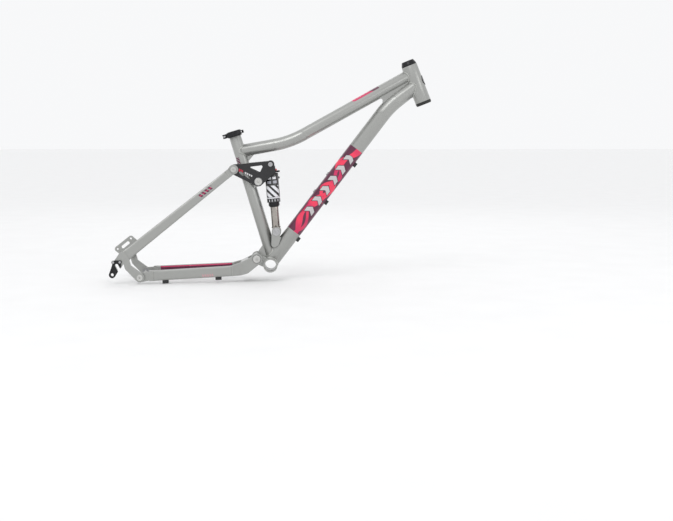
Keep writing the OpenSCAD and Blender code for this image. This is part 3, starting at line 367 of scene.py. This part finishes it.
def rocker_finish():
    """Black anodised plates with brushed faces and a small row of generic bars on the rear arm."""
    s = Shader("rocker_black")
    run, off = s.along(ROCKER, 153.9)
    outside = s.above(s.math("ABSOLUTE", s.side()), 27.2)
    slant = s.math("MULTIPLY_ADD", off, 0.4, run)
    bars = s.all(s.near(run, 36, 13), s.near(off, -5.5, 3.2), s.below(s.saw(slant, 6.4), 2.1), outside)
    flash = s.all(s.near(slant, 58, 7.5), s.near(off, -5.5, 4.2), s.below(s.saw(slant, 5.4), 1.9), outside)
    grain = s.noise(130, 3.0, stretch=(1.0, 1.0, 14.0))
    base = s.mix(s.spread(grain, 0.3, 0.7, 0.0, 1.0), (0.010, 0.010, 0.011, 1), (0.020, 0.020, 0.022, 1))
    base = s.mix(bars, base, linear("d2d2d2"))
    base = s.mix(flash, base, linear("c02440"))
    return s.shine(Base_Color=base, Metallic=0.35, Roughness=s.spread(grain, 0.3, 0.7, 0.27, 0.40),
                   Coat_Weight=0.35, Coat_Roughness=0.18, Normal=s.bump(grain, 0.01, 0.35))


def can_finish():
    """Gloss black can with generic white blocks, slashes, a band and ticks."""
    s = Shader("can_black")
    run, off = s.along(SHOCK_TOP, SHOCK_ANGLE)
    wide = s.math("ABSOLUTE", off)
    blocks = s.all(s.near(run, 41, 3.4), s.near(wide, 7.2, 5.0))
    dashes = s.all(s.near(run, 53, 4.0), s.near(wide, 8.4, 5.6))
    slashes = s.above(s.saw(s.math("MULTIPLY_ADD", off, -1.1, run), 21.0), 4.6)
    field = s.all(s.near(run, 80, 17), slashes, s.below(wide, 17.6))
    band = s.near(run, 99.6, 1.6)
    ticks = s.all(s.near(run, 107, 3.2), s.below(s.saw(off, 8.4), 0.9))
    ink = s.mix(s.near(run, 53, 5.0), linear("dfe0e4"), linear("9c9ea6"))
    base = s.mix(s.either(blocks, dashes, field, band, ticks), (0.012, 0.012, 0.013, 1), ink)
    wear = s.noise(240, 4.0, rough=0.6)
    return s.shine(Base_Color=base, Metallic=0.0, Roughness=s.spread(wear, 0.35, 0.7, 0.20, 0.32),
                   Coat_Weight=0.5, Coat_Roughness=0.06, Normal=s.bump(s.noise(300, 2.0), 0.01, 0.3))


def anodised(name, dark, light, rough=0.34, metallic=0.9):
    """Turned or milled aluminium under a coloured oxide: fine grain that varies the gloss."""
    s = Shader(name)
    grain = s.noise(900, 3.0)
    fine = s.noise(160, 4.0, rough=0.7)
    base = s.mix(s.spread(fine, 0.35, 0.65, 0.0, 1.0), (*dark, 1), (*light, 1))
    gloss = s.spread(grain, 0.3, 0.7, rough - 0.06, rough + 0.06)
    return s.shine(Base_Color=base, Metallic=metallic, Roughness=gloss, Normal=s.bump(grain, 0.006, 0.4))


def plain_metal(name, tone, rough):
    """Machined metal with turning lines and small scuffs."""
    s = Shader(name)
    lathe = s.noise(700, 2.0, stretch=(1.0, 8.0, 1.0))
    scuff = s.noise(90, 5.0, rough=0.7)
    dull = tuple(c * 0.78 for c in tone)
    base = s.mix(s.spread(scuff, 0.4, 0.75, 0.0, 1.0), (*tone, 1), (*dull, 1))
    turned = s.spread(lathe, 0.3, 0.7, rough - 0.05, rough + 0.05)
    gloss = s.math("ADD", turned, s.spread(scuff, 0.5, 0.8, 0.0, 0.12))
    return s.shine(Base_Color=base, Metallic=1.0, Roughness=gloss, Normal=s.bump(lathe, 0.006, 0.5))


def soft_black(name, rough, tone, pebbles):
    """Moulded black plastic or rubber with a fine pebble."""
    s = Shader(name)
    pebble = s.noise(pebbles, 3.0, rough=0.6)
    dark = tuple(c * 0.8 for c in tone)
    base = s.mix(s.spread(pebble, 0.3, 0.7, 0.0, 1.0), (*dark, 1), (*tone, 1))
    gloss = s.spread(pebble, 0.3, 0.7, rough - 0.07, rough + 0.07)
    return s.shine(Base_Color=base, Metallic=0.0, Roughness=gloss, Normal=s.bump(pebble, 0.05, 0.35))


def weld_finish():
    """Painted weld bead: the frame's paint over a rougher surface."""
    s = Shader("weld_paint")
    cloud = s.noise(300, 3.0, rough=0.6)
    base = s.mix(s.spread(cloud, 0.35, 0.7, 0.0, 1.0), linear("a9aaa6"), linear("b8b9b5"))
    return s.shine(Base_Color=base, Metallic=PAINT_METAL, Roughness=s.spread(cloud, 0.3, 0.7, 0.30, 0.42),
                   Coat_Weight=0.4, Coat_Roughness=0.12, Normal=s.bump(cloud, 0.05, 0.4))


LOOKS = {
    "frame_paint": paint("frame_paint"),
    "shell_paint": paint("shell_paint", shell_art, shell_threads),
    "top_tube_paint": paint("top_tube_paint", top_tube_art),
    "down_tube_paint": paint("down_tube_paint", down_tube_art),
    "seat_tube_paint": paint("seat_tube_paint", seat_tube_art),
    "right_chainstay_paint": paint("right_chainstay_paint", chainstay_art),
    "left_chainstay_paint": paint("left_chainstay_paint", left_chainstay_art),
    "right_seatstay_paint": paint("right_seatstay_paint", seatstay_art),
    "left_seatstay_paint": paint("left_seatstay_paint", seatstay_art),
    "rocker_black": rocker_finish(),
    "can_black": can_finish(),
    "black_anodised": anodised("black_anodised", (0.012, 0.012, 0.013), (0.024, 0.024, 0.026), 0.33, 0.6),
    "red_anodised": anodised("red_anodised", (0.42, 0.012, 0.02), (0.55, 0.02, 0.03), 0.28),
    "pivot_alloy": plain_metal("pivot_alloy", (0.62, 0.62, 0.60), 0.28),
    "shaft_alloy": plain_metal("shaft_alloy", (0.42, 0.39, 0.36), 0.20),
    "steel": plain_metal("steel", (0.50, 0.50, 0.51), 0.26),
    "bearing_steel": plain_metal("bearing_steel", (0.38, 0.38, 0.39), 0.30),
    "ring_alloy": plain_metal("ring_alloy", (0.60, 0.60, 0.60), 0.33),
    "black_plastic": soft_black("black_plastic", 0.45, (0.018, 0.018, 0.019), 900),
    "black_rubber": soft_black("black_rubber", 0.62, (0.014, 0.014, 0.014), 1400),
}
WELD = weld_finish()

# ---------------------------------------------------------------- CAD nodes: materials and rounded edges
EDGE_RADIUS = 0.35
SOFT_EDGES = {
    1.2: ("chainstay_yoke",),
    1.0: ("chainstay_lugs", "seatstay_lugs", "main_pivot_lug", "rocker_pivot_lug",
          "head_gusset", "seat_gusset"),
    0.9: ("right_dropout", "left_dropout", "shock_bracket"),
    0.8: ("brake_mount", "right_rocker_plate", "left_rocker_plate"),
    0.7: ("seat_collar", "quick_release_lever", "derailleur_hanger"),
}
RADIUS_OF = {name: radius for radius, names in SOFT_EDGES.items() for name in names}


def soften(node, radius):
    """Joins the node's facets into whole faces, then rounds the edges between them."""
    weld = node.modifiers.new("weld", "WELD")
    weld.merge_threshold = 0.002 * MM
    flat = node.modifiers.new("flat", "DECIMATE")
    flat.decimate_type = "DISSOLVE"
    flat.angle_limit = math.radians(0.4)
    edge = node.modifiers.new("edge", "BEVEL")
    edge.width = radius * MM
    edge.segments = 2
    edge.limit_method = "ANGLE"
    edge.angle_limit = math.radians(32)
    edge.use_clamp_overlap = True
    edge.harden_normals = True


for name, node in NODES.items():
    look = "shell_paint" if name == "bottom_bracket_shell" else SLOT_OF[name]
    node.data.materials.clear()
    node.data.materials.append(LOOKS[look])
    soften(node, RADIUS_OF.get(name, EDGE_RADIUS))


# ---------------------------------------------------------------- mesh pieces
def piece(name, mesh, body, look, *stands_for):
    """A smooth mesh object that rides on a body and may stand for CAD nodes."""
    for polygon in mesh.polygons:
        polygon.use_smooth = True
    obj = bpy.data.objects.new(name, mesh)
    bpy.context.scene.collection.objects.link(obj)
    mesh.materials.append(look)
    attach(obj, body)
    if stands_for:
        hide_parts(*stands_for)
    return obj


def skin(name, rings, closed_run):
    """Mesh through rings of points; closed_run joins the last ring to the first, else the ends are capped."""
    bm = bmesh.new()
    rows = [[bm.verts.new(p * MM) for p in ring] for ring in rings]
    count = len(rows[0])
    pairs = list(zip(rows, rows[1:])) + ([(rows[-1], rows[0])] if closed_run else [])
    for low, high in pairs:
        for i in range(count):
            j = (i + 1) % count
            bm.faces.new((low[i], low[j], high[j], high[i]))
    if not closed_run:
        bm.faces.new(rows[0][::-1])
        bm.faces.new(rows[-1])
    bmesh.ops.recalc_face_normals(bm, faces=bm.faces)
    mesh = bpy.data.meshes.new(name)
    bm.to_mesh(mesh)
    bm.free()
    return mesh


def turns(count, start=0.0):
    """Angles in radians, evenly spread round a circle."""
    return [2 * math.pi * (k + start) / count for k in range(count)]


def superellipse(angle, power):
    """A point on a rounded square from -1 to 1; a higher power has squarer corners."""
    x, z = math.cos(angle), math.sin(angle)
    return math.copysign(abs(x) ** (2 / power), x), math.copysign(abs(z) ** (2 / power), z)


def mesh_points(node_name):
    """A CAD node's vertices."""
    return np.array([tuple(v.co) for v in NODES[node_name].data.vertices]) / MM


# ---------------------------------------------------------------- weld beads
BEAD_STEP = 0.55
BEAD_SIDES = 10


def resample(path):
    """Points a step apart along a closed path, and the path's length."""
    points = np.array([tuple(p) for p in path] + [tuple(path[0])])
    length = np.concatenate([[0], np.cumsum(np.linalg.norm(np.diff(points, axis=0), axis=1))])
    count = max(24, int(round(length[-1] / BEAD_STEP)))
    stations = np.linspace(0, length[-1], count, endpoint=False)
    return [Vector([np.interp(t, length, points[:, k]) for k in range(3)]) for t in stations], length[-1]


def bead(name, body, path, radius=2.1, pitch=3.3):
    """A weld bead: overlapping puddles, a pitch apart, along a closed path."""
    points, length = resample(path)
    n = len(points)
    puddles = max(6, round(length / pitch))
    centre = sum(points, Vector()) / n
    rings = []
    for i, p in enumerate(points):
        tangent = (points[(i + 1) % n] - points[i - 1]).normalized()
        out = p - centre
        out = (out - out.dot(tangent) * tangent).normalized()
        side = tangent.cross(out)
        phase = (i / n * puddles) % 1.0
        puddle = 0.80 + 0.20 * math.sqrt(max(0.0, math.sin(math.pi * phase)))
        hand = 1 + 0.05 * math.sin(i * 0.113) + 0.03 * math.sin(i * 0.047 + 1.3)
        swell = radius * puddle * hand
        rings.append([p + (out * math.cos(a) + side * math.sin(a)) * swell for a in turns(BEAD_SIDES)])
    made = piece(name, skin(name, rings, True), body, WELD)
    return made


def across(direction):
    """Two unit vectors square to a direction."""
    u = Y if abs(direction.y) < 0.9 else Vector((1, 0, 0))
    u = (u - u.dot(direction) * direction).normalized()
    return u, direction.cross(u)


def meeting(start, direction, radius, on, axis, on_radius):
    """Path where a tube whose line runs through start first meets another tube's surface."""
    u, v = across(direction)
    path = []
    for a in turns(360):
        w = start + radius * (math.cos(a) * u + math.sin(a) * v) - on
        flat_w = w - w.dot(axis) * axis
        flat_d = direction - direction.dot(axis) * axis
        qa = flat_d.dot(flat_d)
        qb = 2 * flat_w.dot(flat_d)
        qc = flat_w.dot(flat_w) - on_radius ** 2
        t = (-qb - math.sqrt(max(qb * qb - 4 * qa * qc, 0.0))) / (2 * qa)
        path.append(on + w + t * direction)
    return path


HEAD_TUBE = (HEAD_FOOT, heading(HEAD_ANGLE), HEAD_RADIUS)
SEAT_UP = heading(SEAT_ANGLE)
SEAT_TUBE = (SEAT_FOOT, SEAT_UP, SEAT_RADIUS)
SHELL = (Vector(), Y, SHELL_RADIUS)
DOWN_TUBE = (DOWN_BASE, heading(DOWN_ANGLE), DOWN_RADIUS)
FRONT_WELDS = {
    "weld_head_top": meeting(TOP_CORNER, heading(TOP_FRONT_ANGLE), TOP_RADIUS, *HEAD_TUBE),
    "weld_head_down": meeting(DOWN_CORNER, heading(DOWN_FRONT_ANGLE), DOWN_RADIUS, *HEAD_TUBE),
    "weld_seat_top": meeting(TOP_CORNER, -heading(TOP_REAR_ANGLE), TOP_RADIUS, *SEAT_TUBE),
    "weld_shell_down": meeting(DOWN_CORNER, -heading(DOWN_ANGLE), DOWN_RADIUS, *SHELL),
    "weld_seat_down": meeting(SEAT_FOOT, -SEAT_UP, SEAT_RADIUS, *DOWN_TUBE),
}
for name, path in FRONT_WELDS.items():
    bead(name, "front_triangle", path)

# ---------------------------------------------------------------- drawn stays
STAY_STEPS = 48
STAY_SIDES = 56
END_POWER = 11
END_BLEND = 26
RING_POWER = 25 / 3


def end_frames(node_name):
    """For both ends of a CAD stay: (centre, half width vector, half height vector), front end first."""
    points = np.unique(np.round(mesh_points(node_name), 2), axis=0)
    line = np.linalg.svd(points - points.mean(0))[2][0]
    station = (points - points.mean(0)) @ line
    ends = []
    for part in (points[station > 0], points[station < 0]):
        corners = part[np.argsort(-np.linalg.norm(part - part.mean(0), axis=1))[:4]]
        by_y = corners[np.argsort(corners[:, 1])]
        by_z = corners[np.argsort(corners[:, 2])]
        ends.append((Vector(corners.mean(0)), Vector(by_y[2:].mean(0) - by_y[:2].mean(0)) / 2,
                     Vector(by_z[2:].mean(0) - by_z[:2].mean(0)) / 2))
    return sorted(ends, key=lambda end: -end[0].x)


def stay(node_name, body, power):
    """A drawn stay with crowned sides and round corners, squarer at its welded ends."""
    front, rear = end_frames(node_name)
    length = (rear[0] - front[0]).length
    rings = []
    for i in range(STAY_STEPS + 1):
        t = i / STAY_STEPS
        centre, wide, tall = (a.lerp(b, t) for a, b in zip(front, rear))
        end_gap = min(t, 1 - t) * length
        n = power + (END_POWER - power) * max(0.0, 1 - end_gap / END_BLEND) ** 2
        corners = (superellipse(a, n) for a in turns(STAY_SIDES, 0.5))
        rings.append([centre + wide * x + tall * z for x, z in corners])
    name = "drawn_" + node_name
    made = piece(name, skin(name, rings, False), body, LOOKS[SLOT_OF[node_name]], node_name)
    for label, (centre, wide, tall) in (("front", front), ("rear", rear)):
        corners = (superellipse(a, RING_POWER) for a in turns(120))
        loop = [centre + wide * x * 0.96 + tall * z * 0.97 for x, z in corners]
        bead(f"weld_{node_name}_{label}", body, loop, 1.3, 2.8)


for side in ("right", "left"):
    stay(f"{side}_seatstay", "seatstays", 4.6)
    stay(f"{side}_chainstay", "chainstays", 5.2)

bridge = STAY_TOP + heading(STAY_ANGLE) * BRIDGE_STATION
for label, y in (("right", -BRIDGE_HALF_LENGTH), ("left", BRIDGE_HALF_LENGTH)):
    loop = [bridge + Vector((BRIDGE_RADIUS * math.cos(a), y, BRIDGE_RADIUS * math.sin(a))) for a in turns(60)]
    bead("weld_bridge_" + label, "seatstays", loop, 1.2, 2.6)


# ---------------------------------------------------------------- head badge
RIM_RADIUS = 11.0
RIM_WIRE = 0.75
RIM_SUNK = 0.35


def badge_rim():
    """A plain raised rim on the head badge, following the head tube's curve."""
    down = heading(HEAD_ANGLE)
    front = heading(HEAD_ANGLE + 90)
    points = mesh_points("head_badge") - np.array(HEAD_FOOT)
    stations = points @ np.array(down)
    middle = (stations.min() + stations.max()) / 2
    reach = np.hypot(points @ np.array(front), points[:, 1]).max() - RIM_SUNK
    rings = []
    for a in turns(72):
        turn = RIM_RADIUS * math.cos(a) / reach
        out = front * math.cos(turn) + Y * math.sin(turn)
        centre = HEAD_FOOT + down * (middle + RIM_RADIUS * math.sin(a)) + out * reach
        wide = (down * math.sin(a) + Y * math.cos(a)).normalized()
        rings.append([centre + (wide * math.cos(b) + out * math.sin(b)) * RIM_WIRE for b in turns(8)])
    rim = piece("badge_rim", skin("badge_rim", rings, True), "front_triangle", LOOKS["ring_alloy"])


badge_rim()


# ---------------------------------------------------------------- floor, light and camera, in metres
def facing(place, target):
    """The turn that points a lamp or a camera from place to target."""
    return (Vector(target) - Vector(place)).to_track_quat("-Z", "Y").to_euler()


def add_floor(height):
    bpy.ops.mesh.primitive_plane_add(size=60, location=(0, 0, height))
    floor = bpy.context.object
    floor.name = "floor"
    s = Shader("floor")
    speck = s.spread(s.noise(7, 3.0), 0.3, 0.7, 0.0, 1.0)
    colour = s.mix(speck, (0.84, 0.84, 0.84, 1), (0.86, 0.86, 0.86, 1))
    floor.data.materials.append(s.shine(Base_Color=colour, Roughness=0.85))
    floor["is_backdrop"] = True


def add_lamp(name, place, size, power):
    """A soft rectangular lamp that faces the middle of the frame."""
    data = bpy.data.lights.new(name, "AREA")
    data.shape = "RECTANGLE"
    data.size, data.size_y = size
    data.energy = power
    lamp = bpy.data.objects.new(name, data)
    lamp.location = place
    lamp.rotation_euler = facing(place, (0.0, 0.0, 0.25))
    bpy.context.scene.collection.objects.link(lamp)


def add_sun():
    data = bpy.data.lights.new("sun", "SUN")
    data.energy = 0.45
    data.angle = math.radians(25)
    sun = bpy.data.objects.new("sun", data)
    sun.rotation_euler = (math.radians(38), math.radians(-22), 0)
    bpy.context.scene.collection.objects.link(sun)


def add_sky():
    world = bpy.data.worlds.new("studio")
    world.use_nodes = True
    sky = world.node_tree.nodes["Background"]
    sky.inputs["Color"].default_value = (0.985, 0.99, 1.0, 1)
    sky.inputs["Strength"].default_value = 0.95
    bpy.context.scene.world = world


def add_camera():
    """On the drive side, a little above and ahead of the frame's middle."""
    data = bpy.data.cameras.new("camera")
    data.sensor_width = 36
    data.lens = 57.8
    data.shift_x, data.shift_y = 0.03, -0.08
    camera = bpy.data.objects.new("camera", data)
    camera.location = (0.0586, -3.2, 0.383)
    camera.rotation_euler = facing(camera.location, (0.136, 0, 0.171))
    bpy.context.scene.collection.objects.link(camera)
    bpy.context.scene.camera = camera


add_floor(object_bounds()[0].z - 0.001)
add_sky()
add_lamp("key", (-1.2, -2.4, 2.2), (1.5, 0.9), 9)
add_lamp("fill", (2.2, -1.8, 1.2), (1.2, 1.2), 6)
add_lamp("back", (0.4, 2.4, 2.0), (2.4, 1.0), 5)
add_lamp("top", (0.0, 0.0, 2.6), (2.2, 1.2), 1.5)
add_sun()
add_camera()
bpy.context.scene.view_settings.view_transform = "Standard"

bpy.context.view_layer.update()
